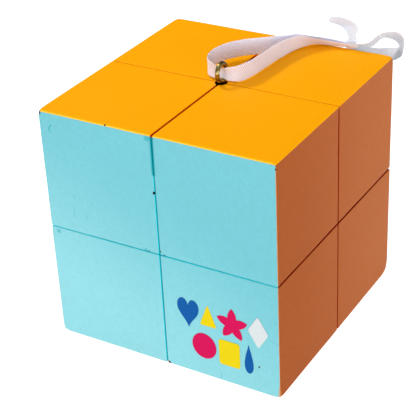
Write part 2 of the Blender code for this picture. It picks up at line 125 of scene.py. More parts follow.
# Each station is a centre, a width direction, half a width and how far the middle is cupped.
LOOP_STATIONS = [
    ((14.3, 24.4, 0.72), EDGE_ON, 0.75, 0.0),
    ((11.8, 23.9, 0.88), EDGE_ON, 0.95, 0.0),
    ((9.0, 22.7, 1.25), FLAT, 1.4, 0.0),
    ((6.6, 19.8, 1.75), LEANING, 1.6, 0.0),
    ((5.3, 15.0, 1.85), UPRIGHT, 1.75, 0.0),
    ((4.8, 10.0, 1.85), UPRIGHT, 1.75, 0.0),
    ((4.4, 5.0, 1.85), UPRIGHT, 1.75, 0.0),
    ((3.5, 1.7, 1.85), UPRIGHT, 1.7, 0.1),
    ((1.9, 0.3, 1.9), UPRIGHT, 1.4, 0.3),
    ((0.2, 0.0, 2.0), UPRIGHT, 1.05, 0.4),
    ((-1.6, 0.3, 2.0), UPRIGHT, 1.45, 0.3),
    ((-3.6, 1.5, 2.05), UPRIGHT, 1.7, 0.1),
    ((-4.5, 4.2, 2.2), UPRIGHT, 1.75, 0.0),
    ((-3.8, 7.8, 2.35), UPRIGHT, 1.75, 0.0),
    ((-1.6, 11.4, 2.35), UPRIGHT, 1.75, 0.0),
    ((1.4, 14.4, 2.2), UPRIGHT, 1.75, 0.0),
    ((4.1, 17.2, 2.05), UPRIGHT, 1.7, 0.0),
    ((6.2, 20.4, 1.8), LEANING, 1.6, 0.0),
    ((8.7, 23.0, 1.55), FLAT, 1.4, 0.0),
    ((11.5, 24.5, 1.05), EDGE_ON, 1.1, 0.0),
    ((14.2, 24.9, 0.84), EDGE_ON, 0.9, 0.0),
]
BOW_STATIONS = [
    ((16.8, 25.7, 0.5), FACING_DOWN, 0.8, 0.0),
    ((18.1, 26.5, 0.4), FACING_DOWN, 0.8, 0.0),
    ((19.3, 27.4, 0.75), FACING_DOWN, 0.85, 0.0),
    ((20.1, 28.5, 1.6), (0.0, 0.8, -0.6), 1.2, 0.0),
    ((21.0, 29.1, 2.15), (-0.22, 0.76, -0.62), 1.7, 0.0),
    ((22.0, 29.5, 2.3), (-0.37, 0.61, -0.7), 1.75, 0.0),
    ((23.2, 29.8, 2.15), (-0.47, 0.5, -0.72), 1.75, 0.0),
    ((24.1, 30.0, 1.55), (-0.55, 0.52, -0.66), 1.75, 0.0),
    ((24.6, 30.0, 0.7), (-0.57, 0.62, -0.54), 1.75, 0.0),
    ((24.5, 30.0, -0.4), (-0.6, 0.77, -0.2), 1.75, 0.0),
    ((23.9, 30.0, -1.3), (-0.68, 0.72, 0.14), 1.75, 0.0),
    ((22.7, 30.0, -1.95), (-0.5, 0.76, 0.4), 1.75, 0.0),
    ((21.3, 30.0, -2.35), (-0.35, 0.65, 0.68), 1.6, 0.0),
    ((20.0, 29.5, -2.2), (-0.3, 0.6, 0.75), 1.25, 0.0),
    ((18.9, 28.5, -1.6), (-0.2, 0.5, 0.85), 0.95, 0.0),
    ((17.8, 27.3, -0.9), (-0.1, 0.4, 0.9), 0.8, 0.0),
    ((16.4, 26.4, -0.2), (-0.1, 0.4, 0.9), 0.75, 0.0),
    ((14.6, 25.8, 0.0), (-0.1, 0.4, 0.9), 0.6, 0.0),
]
TAIL_STATIONS = [
    ((15.7, 25.4, 1.3), (0.9, 0.4, 0.1), 1.2, 0.0),
    ((15.8, 25.6, 2.0), (0.9, 0.38, 0.1), 0.8, 0.0),
    ((15.7, 25.7, 2.8), (0.9, 0.4, 0.1), 0.9, 0.0),
    ((15.5, 25.8, 3.7), (0.95, 0.2, 0.15), 1.4, 0.0),
    ((15.0, 25.9, 4.35), (0.95, 0.05, 0.25), 1.65, 0.0),
    ((13.8, 26.0, 4.85), (0.84, -0.2, 0.5), 1.75, 0.0),
    ((12.1, 26.0, 5.1), (0.68, -0.37, 0.63), 1.7, 0.0),
    ((10.4, 26.0, 4.95), (0.47, -0.64, 0.61), 1.5, 0.0),
]
KNOT_CENTRE = (15.6, 25.3, 0.65)
KNOT_RADII = (1.3, 0.7, 0.7)
KNOT_FOLDS = 0.07              # how far the wraps across the knot stand out, and its flats
KNOT_FLATS = 0.05
KNOT_FLARE = 0.35              # how much the knot widens towards its two ends
TUCKED = 0.75                  # how far a tied end runs on towards the knot's middle
TUCKED_WIDTH = 0.8

# Camera, as the photograph was taken
AZIMUTH = math.radians(31.72)
ELEVATION = math.radians(30.0)
ROLL = math.radians(-2.93)
DISTANCE = 5.145 * SIDE
SHIFT_RIGHT = 0.0703 * SIDE
SHIFT_UP = 0.0499 * SIDE
SENSOR = 36.0                  # millimetres, as is the focal length
FOCAL_LENGTH = 110.59615

# Light. Behind the cube a dark flag keeps its reflection off the top face.
WORLD_LIGHT = 0.50
FLAG_DIRECTION = (-0.459, 0.738, 0.495)
FLAG_FADE = (0.55, 0.92)       # cosines of the angles between which it fades in
FLAG_LIGHT = WORLD_LIGHT * 0.1
# Each lamp: a name, a place in metres, a diameter and a power. All of them face the cube's middle.
LAMPS = [
    ("key", (-0.42, 0.12, 0.50), 0.15, 2.2),
    ("overhead", (-0.05, 0.0, 0.95), 0.9, 1.4),
    ("front_fill", (-0.25, -0.75, 0.14), 0.6, 2.8),
    ("side_fill", (0.75, -0.35, 0.10), 0.5, 3.0),
]
FLOOR_REACH = 6.0
FLOOR_DROP = 0.05 * MM
FLOOR_TONES = (0.33, 0.35)
FLOOR_GLOW = 1.0


# ---------------------------------------------------------------- node helpers

class Nodes:
    """A material whose shader graph is built with short calls."""

    def __init__(self, name):
        self.material = bpy.data.materials.new(name)
        self.material.use_nodes = True
        self.tree = self.material.node_tree
        self.shader = self.tree.nodes["Principled BSDF"]
        self.coordinates = self.tree.nodes.new("ShaderNodeTexCoord")

    def set(self, **values):
        for key, value in values.items():
            socket = self.shader.inputs[key.replace("_", " ")]
            if isinstance(value, bpy.types.NodeSocket):
                self.tree.links.new(value, socket)
            else:
                socket.default_value = value
        return self

    def feed(self, socket, value):
        if isinstance(value, bpy.types.NodeSocket):
            self.tree.links.new(value, socket)
        elif value is not None:
            socket.default_value = value

    def math(self, operation, first, second=None, third=None, clamp=False):
        node = self.tree.nodes.new("ShaderNodeMath")
        node.operation = operation
        node.use_clamp = clamp
        for socket, value in zip(node.inputs, (first, second, third)):
            self.feed(socket, value)
        return node.outputs[0]

    def vector(self, operation, first, second=None, output=0):
        node = self.tree.nodes.new("ShaderNodeVectorMath")
        node.operation = operation
        self.feed(node.inputs[0], first)
        self.feed(node.inputs[1], second)
        return node.outputs[output]

    def split(self, vector):
        node = self.tree.nodes.new("ShaderNodeSeparateXYZ")
        self.feed(node.inputs[0], vector)
        return node.outputs

    def mix(self, factor, first, second, blend="MIX"):
        node = self.tree.nodes.new("ShaderNodeMix")
        node.data_type = "RGBA"
        node.blend_type = blend
        self.feed(node.inputs[0], factor)
        self.feed(node.inputs[6], first)
        self.feed(node.inputs[7], second)
        return node.outputs[2]

    def noise(self, scale, detail=2.0, roughness=0.5, vector=None):
        node = self.tree.nodes.new("ShaderNodeTexNoise")
        self.feed(node.inputs["Vector"], vector or self.coordinates.outputs["Object"])
        node.inputs["Scale"].default_value = scale
        node.inputs["Detail"].default_value = detail
        node.inputs["Roughness"].default_value = roughness
        return node.outputs["Fac"]

    def spread(self, value, low, high, to_low=0.0, to_high=1.0, smooth=True):
        node = self.tree.nodes.new("ShaderNodeMapRange")
        node.interpolation_type = "SMOOTHSTEP" if smooth else "LINEAR"
        self.feed(node.inputs[0], value)
        for socket, number in zip(node.inputs[1:5], (low, high, to_low, to_high)):
            socket.default_value = number
        return node.outputs[0]

    def bump(self, height, strength, distance):
        node = self.tree.nodes.new("ShaderNodeBump")
        node.inputs["Strength"].default_value = strength
        node.inputs["Distance"].default_value = distance
        self.feed(node.inputs["Height"], height)
        self.tree.links.new(node.outputs[0], self.shader.inputs["Normal"])


def colour(red, green, blue):
    """A linear colour from the 0 to 255 values that a screen shows."""
    linear = []
    for value in (red, green, blue):
        share = value / 255
        linear.append(share / 12.92 if share <= 0.04045 else ((share + 0.055) / 1.055) ** 2.4)
    return (*linear, 1.0)


# ---------------------------------------------------------------- paint

ORANGE = colour(255, 169, 0)
AQUA = colour(108, 181, 191)
AQUA_FLOOR_REFLECTION = colour(134, 197, 205)      # painted reflection of the bright floor, lighter towards the lower left
TERRACOTTA = colour(160, 79, 25)
TERRACOTTA_PALE = colour(175, 96, 45)  # towards the back
BASE_BLACK = colour(22, 16, 15)
EDGE_OCHRE = colour(200, 124, 40)
# The yellow on the top's front edge is a painted highlight.
RIM_HIGHLIGHT = colour(255, 196, 40)
# Painted shade: down in the seams each face's paint takes a darker, more saturated tone, for the
# shade and bounced colour between the cubies
ORANGE_SEAM_SHADE = (0.66, 0.03, 0.001, 1.0)
AQUA_SEAM_SHADE = (0.0, 0.72, 0.80, 1.0)
TERRACOTTA_SEAM_SHADE = (0.30, 0.005, 0.0, 1.0)

PAINT_DEPTH = 3.2 * MM         # how far the paint runs down into the seams
PAINT_FRAY = 0.8 * MM          # over which it gives way to the bare base
ORANGE_WRAP = 0.22 * MM        # how far the top's orange comes down over its edges
SEAM_SHADE_DEPTHS = (0.05 * MM, 0.12 * MM)    # depths between which a seam takes the painted shade
BESIDE_SEAM = 1.0 * MM         # the painted shade keeps within this of the planes between the cubies
FAINT_SEAM_SHADE = 0.7               # share of the painted shade that the top's seam from left to right lacks
HAIR_LINE = (0.10 * MM, 0.22 * MM)    # distances from the edge over which the undercoat fades out
HAIR_STRENGTH = 0.6
HAIR_FOOT = (0.5 * MM, 3.5 * MM, -0.3 * MM, 0.0)    # it is wider at the foot of the edge
RIM_HIGHLIGHT_FADE = (0.10 * MM, 0.24 * MM)     # distances from the front over which the painted highlight on the rim fades out
RIM_HIGHLIGHT_STRENGTH = 0.8
# Bare base round the hanger hole: a ring that widens, down to a depth, with a slope
HOLE_BARE = 0.06 * MM
HOLE_CONE = 3 * MM
HOLE_SLOPE = 0.8
POOL_TONE = colour(10, 150, 160)
POOL_STRENGTH = 0.55

# The places, lengths and widths in the four lists below are in millimetres.
# Spots where the paint is chipped to the black base: a place and a radius.
CHIPS = [
    ((-9.9, -24.9, 49.9), 0.20),
    ((-0.25, -24.9, 38.2), 0.26),
    ((0.15, -25.0, 25.75), 0.24),
    ((-2.3, -24.95, 25.2), 0.16),
    ((1.15, -24.95, 25.15), 0.16),
    ((-24.8, -24.8, 49.5), 0.42),
    ((20.6, -25.0, 6.0), 0.20),
    ((0.2, -25.0, 0.5), 0.26),
    ((24.95, -24.95, 48.9), 0.18),
    ((0.45, -25.0, 0.25), 0.4),
]
# Strokes where the aqua is thicker or rubbed: two ends, a width and a strength.
RUBS = [
    ((-22.3, 47.4), (-22.9, 46.4), 0.10, 0.95),
    ((-22.9, 46.4), (-22.6, 45.9), 0.09, 0.90),
    ((-18.6, 33.2), (-18.5, 32.6), 0.10, 0.45),
    ((-19.0, 30.4), (-18.9, 28.4), 0.09, 0.45),
    ((-16.3, 29.6), (-16.0, 28.7), 0.10, 0.45),
    ((-21.9, 34.6), (-21.5, 34.2), 0.09, 0.45),
    ((-14.9, 44.3), (-14.6, 44.0), 0.08, 0.40),
    ((-18.2, 44.1), (-18.1, 43.9), 0.08, 0.40),
    ((12.4, 1.6), (12.2, 0.4), 0.11, 0.45),
    ((24.2, 17.3), (24.2, 16.7), 0.09, 0.40),
    ((22.9, 12.9), (24.4, 12.4), 0.09, 0.40),
    ((0.0, 49.6), (0.0, 42.0), 0.45, 0.95),
]
# Pools of thicker aqua beside the seams: a place and a radius.
POOLS = [
    ((-0.9, -25.0, 49.2), 0.75),
    ((-23.3, -25.0, 24.1), 0.60),
    ((-3.0, -25.0, 25.3), 0.45),
]

# Printed shapes
INK_THICKNESS = 0.05 * MM
BLUE_INK = colour(0, 81, 150)
YELLOW_INK = colour(217, 193, 0)
CRIMSON_INK = colour(196, 0, 77)
WHITE_INK = colour(199, 205, 207)
# Each printed shape: its name, outline, middle on the front face in X and Z, width, height and ink.
PRINTS = [
    ("print_heart", "heart", (5.6, 13.6), 4.7, 6.5, BLUE_INK),
    ("print_triangle", "triangle", (9.9, 13.5), 4.0, 6.2, YELLOW_INK),
    ("print_star", "star", (15.1, 13.8), 6.9, 7.3, CRIMSON_INK),
    ("print_diamond", "diamond", (20.6, 13.8), 4.1, 6.8, WHITE_INK),
    ("print_disc", "disc", (8.8, 7.0), 5.3, 5.8, CRIMSON_INK),
    ("print_square", "square", (14.3, 6.9), 4.7, 6.0, YELLOW_INK),
    ("print_drop", "drop", (18.5, 7.1), 2.7, 6.6, BLUE_INK),
]


def cube_paint():
    """Each outer face's own colour, also down the walls of the seams, over a black base, with
    painted shade in the seams, a painted highlight on the top's front edge and a painted floor
    reflection on the aqua.
    """
    made = Nodes("cube_paint")
    place = made.coordinates.outputs["Object"]
    x, y, z = made.split(place)
    from_top = made.math("SUBTRACT", SIDE, z)
    from_front = made.math("ADD", y, HALF)
    from_right = made.math("SUBTRACT", HALF, x)
    from_back = made.math("SUBTRACT", HALF, y)
    from_left = made.math("ADD", x, HALF)
    wobble = made.spread(made.noise(900, 2), 0.3, 0.7, -0.02 * MM, 0.02 * MM, smooth=False)
    # Painted reflection: the aqua turns paler towards the lower left of each aqua face, for the
    # bright floor mirrored in the paint
    reflection_slant = made.math("ADD", z, made.math("MULTIPLY", x, 0.5))
    aqua_and_reflection = made.mix(made.spread(reflection_slant, 0, SIDE * 0.8, 1.0, 0.0), AQUA, AQUA_FLOOR_REFLECTION)
    terracotta = made.mix(made.spread(y, -HALF, HALF), TERRACOTTA, TERRACOTTA_PALE)

    # Every point takes the colour of the outer face that is nearest
    from_orange = made.math("ADD", made.math("SUBTRACT", SIDE - ORANGE_WRAP, z), wobble)
    faces = [
        (from_orange, ORANGE, ORANGE_SEAM_SHADE),
        (from_front, aqua_and_reflection, AQUA_SEAM_SHADE),
        (made.math("ADD", from_right, wobble), terracotta, TERRACOTTA_SEAM_SHADE),
        (from_back, aqua_and_reflection, AQUA_SEAM_SHADE),
        (from_left, terracotta, TERRACOTTA_SEAM_SHADE),
        (z, ORANGE, ORANGE_SEAM_SHADE),
    ]
    nearest, paint, seam_shade_paint = faces[0]
    for distance, face_paint, face_seam_shade in faces[1:]:
        closer = made.math("LESS_THAN", distance, nearest)
        paint = made.mix(closer, paint, face_paint)
        seam_shade_paint = made.mix(closer, seam_shade_paint, face_seam_shade)
        nearest = made.math("MINIMUM", nearest, distance)
    inside = from_top
    for distance in (from_front, from_right, from_back, from_left, z):
        inside = made.math("MINIMUM", inside, distance)
    # Painted shade in the seams, over each face's paint
    paint = made.mix(seam_shade_mask(made, x, y, z, inside), paint, seam_shade_paint)

    # Ochre undercoat shows as a hair line down the edge between the front and the right side
    at_edge = made.math("MAXIMUM", from_front, from_right)
    at_edge = made.math("ADD", at_edge, made.spread(z, *HAIR_FOOT))
    hair = made.spread(made.math("ADD", at_edge, wobble), *HAIR_LINE, HAIR_STRENGTH, 0.0)
    below_top = made.math("LESS_THAN", z, SIDE - 0.4 * MM)
    paint = made.mix(made.math("MULTIPLY", hair, below_top), paint, EDGE_OCHRE)

    # Painted highlight: the orange turns yellower where it wraps over the top's front edge, for the
    # light that the rounded edge catches
    rim_highlight = made.math("MULTIPLY", made.spread(from_front, *RIM_HIGHLIGHT_FADE, 1.0, 0.0),
                    made.math("GREATER_THAN", z, SIDE - ORANGE_WRAP))
    paint = made.mix(made.math("MULTIPLY", rim_highlight, RIM_HIGHLIGHT_STRENGTH), paint, RIM_HIGHLIGHT)

    # Fine grain, mottle and slow drift of the colour
    grain = made.spread(made.noise(4200, 3, 0.8), 0.25, 0.75, 0.89, 1.11, smooth=False)
    drift = made.spread(made.noise(45, 2), 0.3, 0.7, 0.985, 1.015, smooth=False)
    mottle = made.spread(made.noise(1300, 2), 0.3, 0.7, 0.975, 1.025, smooth=False)
    tone = made.math("MULTIPLY", made.math("MULTIPLY", grain, mottle), drift)
    paint = made.mix(1.0, paint, tone, "MULTIPLY")

    # Thicker, deeper colour in the pools and the rubs, on the front only
    front = made.math("LESS_THAN", from_front, 0.3 * MM)
    deep = rub_mask(made, x, z)
    for centre, radius in POOLS:
        away = made.vector("DISTANCE", place, Vector(centre) * MM, output=1)
        spot = made.spread(away, radius * 0.55 * MM, radius * MM, POOL_STRENGTH, 0.0)
        deep = made.math("MAXIMUM", deep, spot)
    paint = made.mix(made.math("MULTIPLY", deep, front), paint, POOL_TONE)

    bare = bare_mask(made, place, nearest, from_top)
    paint = made.mix(bare, paint, BASE_BLACK)

    rough = made.spread(made.noise(1500, 3), 0.3, 0.7, 0.46, 0.56, smooth=False)
    made.set(Base_Color=paint, Roughness=rough, Specular_IOR_Level=0.04)
    height = made.math("ADD", made.noise(3200, 3, 0.6), made.math("MULTIPLY", bare, -6.0))
    made.bump(height, 0.35, 0.02 * MM)
    return made.material


def seam_shade_mask(made, x, y, z, inside):
    """Painted shade: 1 just inside the seams, less in the top's seam from left to right."""
    from_planes = [made.math("ABSOLUTE", value) for value in (x, y, made.math("SUBTRACT", z, HALF))]
    from_seam = made.math("MINIMUM", made.math("MINIMUM", *from_planes[:2]), from_planes[2])
    beside_seam = made.math("LESS_THAN", from_seam, BESIDE_SEAM)
    shaded_seam = made.math("MULTIPLY", made.spread(inside, *SEAM_SHADE_DEPTHS), beside_seam)
    beside_lip = made.math("LESS_THAN", from_planes[1], 0.5 * MM)
    on_top = made.math("GREATER_THAN", z, SIDE - 0.6 * MM)
    faint = made.math("MULTIPLY", made.math("MULTIPLY", beside_lip, on_top), FAINT_SEAM_SHADE)
    return made.math("MULTIPLY", shaded_seam, made.math("SUBTRACT", 1.0, faint))


def bare_mask(made, place, nearest, from_top):
    """1 on the bare base: deep in the seams, in the chips and round the hanger hole."""
    ragged = made.spread(made.noise(2600, 2), 0.3, 0.7, -0.12 * MM, 0.12 * MM, smooth=False)
    bare = made.spread(made.math("ADD", nearest, ragged), PAINT_DEPTH, PAINT_DEPTH + PAINT_FRAY)
    for centre, radius in CHIPS:
        away = made.vector("DISTANCE", place, Vector(centre) * MM, output=1)
        away = made.math("ADD", away, made.math("MULTIPLY", ragged, 0.6))
        bare = made.math("MAXIMUM", bare, made.math("LESS_THAN", away, radius * MM))
    level = made.vector("MULTIPLY", made.vector("SUBTRACT", place, HANGER_OFFSET), (1, 1, 0))
    from_axis = made.vector("LENGTH", level, output=1)
    depth = made.math("MINIMUM", from_top, HOLE_CONE)
    from_axis = made.math("SUBTRACT", from_axis, made.math("MULTIPLY", depth, HOLE_SLOPE))
    return made.math("MAXIMUM", bare, made.math("LESS_THAN", from_axis, HANGER_HOLE + HOLE_BARE))


def rub_mask(made, x, z):
    """1 on the faint strokes of the front face, which are given by their ends in X and Z."""
    mask = None
    for start, end, width, strength in RUBS:
        run = Vector(end) - Vector(start)
        length = run.length * MM
        along_x, along_z = run.normalized()
        from_x = made.math("SUBTRACT", x, start[0] * MM)
        from_z = made.math("SUBTRACT", z, start[1] * MM)
        along = made.math("ADD", made.math("MULTIPLY", from_x, along_x),
                          made.math("MULTIPLY", from_z, along_z))
        aside = made.math("SUBTRACT", made.math("MULTIPLY", from_z, along_x),
                          made.math("MULTIPLY", from_x, along_z))
        beyond = made.math("MAXIMUM", made.math("SUBTRACT", along, length),
                           made.math("MULTIPLY", along, -1))
        beyond = made.math("MAXIMUM", beyond, 0.0)
        away = made.math("ADD", made.math("ABSOLUTE", aside), beyond)
        stroke = made.spread(away, width * 0.4 * MM, width * 1.3 * MM, strength, 0.0)
        mask = stroke if mask is None else made.math("MAXIMUM", mask, stroke)
    return mask


# ---------------------------------------------------------------- meshes

def link(mesh, name):
    obj = bpy.data.objects.new(name, mesh)
    bpy.context.scene.collection.objects.link(obj)
    return obj


def mesh_from(bm, name):
    mesh = bpy.data.meshes.new(name)
    bm.to_mesh(mesh)
    bm.free()
    return link(mesh, name)


def bake_modifiers(obj):
    bpy.context.view_layer.update()
    evaluated = obj.evaluated_get(bpy.context.evaluated_depsgraph_get())
    mesh = bpy.data.meshes.new_from_object(evaluated)
    obj.modifiers.clear()
    obj.data = mesh


def cut(obj, cutter, operation="DIFFERENCE"):
    step = obj.modifiers.new("cut", "BOOLEAN")
    step.operation = operation
    step.solver = "EXACT"
    step.object = cutter
    bake_modifiers(obj)
    bpy.data.objects.remove(cutter, do_unlink=True)


def crowd(share):
    """Moves evenly spaced shares of a length towards its two ends."""
    return share - GRID_CROWDING * math.sin(2 * math.pi * share) / (2 * math.pi)


def rounded_block(name, low, high, corner):
    """A block with rounded edges, rounder at the cube's own corner, and slightly uneven paint."""
    worn = (corner - WORN_CORNER).length < MM
    reach, corner_round = (WORN_REACH, WORN_ROUND) if worn else (CORNER_REACH, CORNER_ROUND)
    bm = bmesh.new()
    bmesh.ops.create_cube(bm, size=1.0)
    bmesh.ops.subdivide_edges(bm, edges=bm.edges, cuts=GRID_CUTS, use_grid_fill=True)
    for vert in bm.verts:
        point = Vector([low[axis] + (high[axis] - low[axis]) * crowd(vert.co[axis] + 0.5)
                        for axis in range(3)])
        near_corner = max(0.0, 1 - (point - corner).length / reach)
        outside = sum(abs(point[axis] - corner[axis]) < CORNER_REACH / 4 for axis in range(3))
        edge = EDGE_ROUND if outside > 1 else SEAM_ROUND
        radius = edge + (corner_round - edge) * near_corner ** 2 * (3 - 2 * near_corner)
        core = Vector([min(max(point[axis], low[axis] + radius), high[axis] - radius)
                       for axis in range(3)])
        normal = (point - core).normalized()
        swell = noise.noise(point / PAINT_SWELL_SIZE) * PAINT_SWELL - PAINT_SWELL / 2
        vert.co = core + normal * (radius + swell)
        close_seams(vert.co)
    return mesh_from(bm, name)


def close_seams(point):
    """Paint pulls a point beside a seam towards it, near the front and across the top."""
    offset = point - CENTRE
    on_front = offset.y < LIP_DEPTH - HALF
    on_top = offset.z > HALF - LIP_DEPTH
    for axis, closes in enumerate((on_front and not on_top, on_top, on_front)):
        if closes and abs(offset[axis]) < LIP_DEPTH:
            lip = LIP * (THIN_LIP if axis == 0 else 1.0)
            point[axis] -= math.copysign(lip * (1 - abs(offset[axis]) / LIP_DEPTH), offset[axis])


def simple_box(low, high):
    bm = bmesh.new()
    bmesh.ops.create_cube(bm, size=1.0)
    for vert in bm.verts:
        vert.co = [low[axis] if vert.co[axis] < 0 else high[axis] for axis in range(3)]
    return mesh_from(bm, "cutter")


def ball(centre, radius):
    bm = bmesh.new()
    bmesh.ops.create_uvsphere(bm, u_segments=64, v_segments=32, radius=radius)
    bmesh.ops.translate(bm, vec=centre, verts=bm.verts)
    return mesh_from(bm, "cutter")


def rod(radius, low, high, aside=Vector()):
    bm = bmesh.new()
    bmesh.ops.create_cone(bm, cap_ends=True, segments=48, radius1=radius, radius2=radius,
                          depth=high - low)
    bmesh.ops.translate(bm, vec=aside + Vector((0, 0, (low + high) / 2)), verts=bm.verts)
    return mesh_from(bm, "cutter")


def smooth_shade(obj, angle=40):
    obj.data.shade_smooth()
    obj.data.set_sharp_from_angle(angle=math.radians(angle))
    weighted = obj.modifiers.new("flat_faces", "WEIGHTED_NORMAL")
    weighted.keep_sharp = True


def cubie(node, body, look):
    """The painted skin of one cubie, hollow like the frame's."""
    low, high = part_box(node)
    corner = Vector([high[axis] if (low[axis] + high[axis]) / 2 > CENTRE[axis] else low[axis]
                     for axis in range(3)])
    block = rounded_block(node + "_painted", low, high, corner)
    wall = Vector((WALL, WALL, WALL))
    cut(block, simple_box(low + wall, high - wall))
    cut(block, ball(CENTRE, CAVITY))
    if "top" in node:
        cut(block, rod(HANGER_HOLE, CENTRE.z, SIDE + WALL, HANGER_OFFSET))
    smooth_shade(block)
    block.data.materials.clear()
    block.data.materials.append(look)
    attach(block, body)
    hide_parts(node)
    return block


# ---------------------------------------------------------------- eye screw

def gold():
    """Bright plated wire with a few dull specks."""
    made = Nodes("gold_plate")
    patch = made.noise(1400, 3)
    tone = made.mix(made.spread(patch, 0.35, 0.65), colour(168, 150, 92), colour(104, 90, 46))
    rough = made.spread(patch, 0.3, 0.7, 0.10, 0.22, smooth=False)
    made.set(Base_Color=tone, Metallic=1.0, Roughness=rough)
    made.bump(made.noise(2600, 2), 0.12, 0.02 * MM)
    return made.material


def tube(name, points, radii, sides=ROD_SIDES, closed=False):
    """A round wire through points, with its own radius at each."""
    bm = bmesh.new()
    rings = []
    count = len(points)
    for index, point in enumerate(points):
        ahead = points[(index + 1) % count] if closed else points[min(index + 1, count - 1)]
        behind = points[index - 1] if closed else points[max(index - 1, 0)]
        along = (ahead - behind).normalized()
        reference = Vector((1, 0, 0)) if abs(along.x) < 0.9 else Vector((0, 1, 0))
        side = along.cross(reference).normalized()
        up = side.cross(along)
        ring = []
        for step in range(sides):
            angle = 2 * math.pi * step / sides
            outward = math.cos(angle) * side + math.sin(angle) * up
            ring.append(bm.verts.new(point + radii[index] * outward))
        rings.append(ring)
    pairs = list(zip(rings, rings[1:]))
    if closed:
        pairs.append((rings[-1], rings[0]))
    for first, second in pairs:
        for step in range(sides):
            bm.faces.new((first[step - 1], first[step], second[step], second[step - 1]))
    if not closed:
        bm.faces.new(rings[0])
        bm.faces.new(reversed(rings[-1]))
    bmesh.ops.recalc_face_normals(bm, faces=bm.faces)
    return mesh_from(bm, name)


def build_eye_screw():
    """The wire ring on its rod, and the screw below it that runs into the core."""
    look = gold()
    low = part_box("eye_screw")[0]
    centre = TOP + Vector((EYE_ASIDE, 0, EYE_HEIGHT))
    circle, radii = [], []
    for step in range(EYE_STEPS):
        angle = 2 * math.pi * step / EYE_STEPS
        up = math.sin(angle)
        circle.append(centre + EYE_RADIUS * Vector((EYE_LEAN * up, math.cos(angle), up)))
        radii.append(EYE_WIRE)
    ring = tube("eye_ring", circle, radii, EYE_SIDES, closed=True)
    foot = centre.z - EYE_RADIUS
    at_foot = EYE_ASIDE - EYE_LEAN * EYE_RADIUS
    profile = [(foot, at_foot), (foot - EYE_FOOT, at_foot), (foot - EYE_BEND, 0),
               (HEAD_END - 0.2 * MM, 0)]
    neck = tube("eye_rod", [Vector((x, 0, z)) for z, x in profile], [ROD_RADIUS] * len(profile))
    shank = [(HEAD_END - down * MM, HEAD_RADIUS * share) for down, share in HEAD_DOME]
    shank += [(HEAD_START, HEAD_RADIUS), (HEAD_START, SHANK_RADIUS),
              (low.z + SHANK_TIP, SHANK_RADIUS), (low.z, SHANK_RADIUS / 2)]
    heights, widths = zip(*shank)
    screw = tube("eye_shank", [Vector((0, 0, z)) for z in heights], widths)
    for piece in (ring, neck, screw):
        smooth_shade(piece, 35)
        piece.data.materials.append(look)
        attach(piece, NODE_BODY["eye_screw"])
    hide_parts("eye_screw")


# ---------------------------------------------------------------- ribbon

def satin(name, dull, bright):
    """White satin ribbon: slanting ribs, fine threads and a soft sheen."""
    made = Nodes(name)
    along, across, _ = made.split(made.coordinates.outputs["UV"])
    drift = made.math("MULTIPLY", made.noise(420, 2), 0.9)
    slant = made.math("ADD", along, made.math("MULTIPLY", across, RIB_SLANT))
    slant = made.math("ADD", slant, drift)
    rib = made.math("SINE", made.math("MULTIPLY", slant, 2 * math.pi / RIB_PITCH))
    rib = made.math("MULTIPLY", rib, made.spread(made.noise(260, 2), 0.35, 0.6, 0.3, 1.0))
    thread = made.math("SINE", made.math("MULTIPLY", across, 2 * math.pi / THREAD_PITCH))
    fuzz = made.noise(4200, 3, 0.7)
    weave = made.math("ADD", rib, made.math("MULTIPLY", thread, 0.2))
    cloth = made.math("ADD", weave, made.math("MULTIPLY", fuzz, 1.2))
    shade = made.spread(cloth, -0.4, 1.1, smooth=False)
    tone = made.mix(shade, dull, bright)
    rough = made.spread(fuzz, 0.3, 0.7, 0.34, 0.48, smooth=False)
    made.set(Base_Color=tone, Roughness=rough, Sheen_Weight=0.3, Sheen_Roughness=0.4)
    made.set(Subsurface_Weight=0.1, Subsurface_Radius=(1, 1, 1), Subsurface_Scale=0.2 * MM)
    made.bump(made.math("ADD", weave, made.math("MULTIPLY", fuzz, 0.6)), 0.5, 0.04 * MM)
    return made.material


def smooth_rows(rows, steps):
    """Catmull-Rom interpolation through rows of numbers, which passes through every row."""
    ends = [rows[0]] + rows + [rows[-1]]
    made = []
    for index in range(len(rows) - 1):
        before, start, end, after = (np.array(row) for row in ends[index:index + 4])
        for step in range(steps):
            t = step / steps
            made.append(0.5 * (2 * start + (end - before) * t
                               + (2 * before - 5 * start + 4 * end - after) * t ** 2
                               + (3 * start - before - 3 * end + after) * t ** 3))
    made.append(np.array(rows[-1]))
    return made


def towards_knot(station):
    """A further station inside the knot."""
    centre, width, half, cup = station
    return tuple(Vector(centre).lerp(Vector(KNOT_CENTRE), TUCKED)), width, half * TUCKED_WIDTH, cup


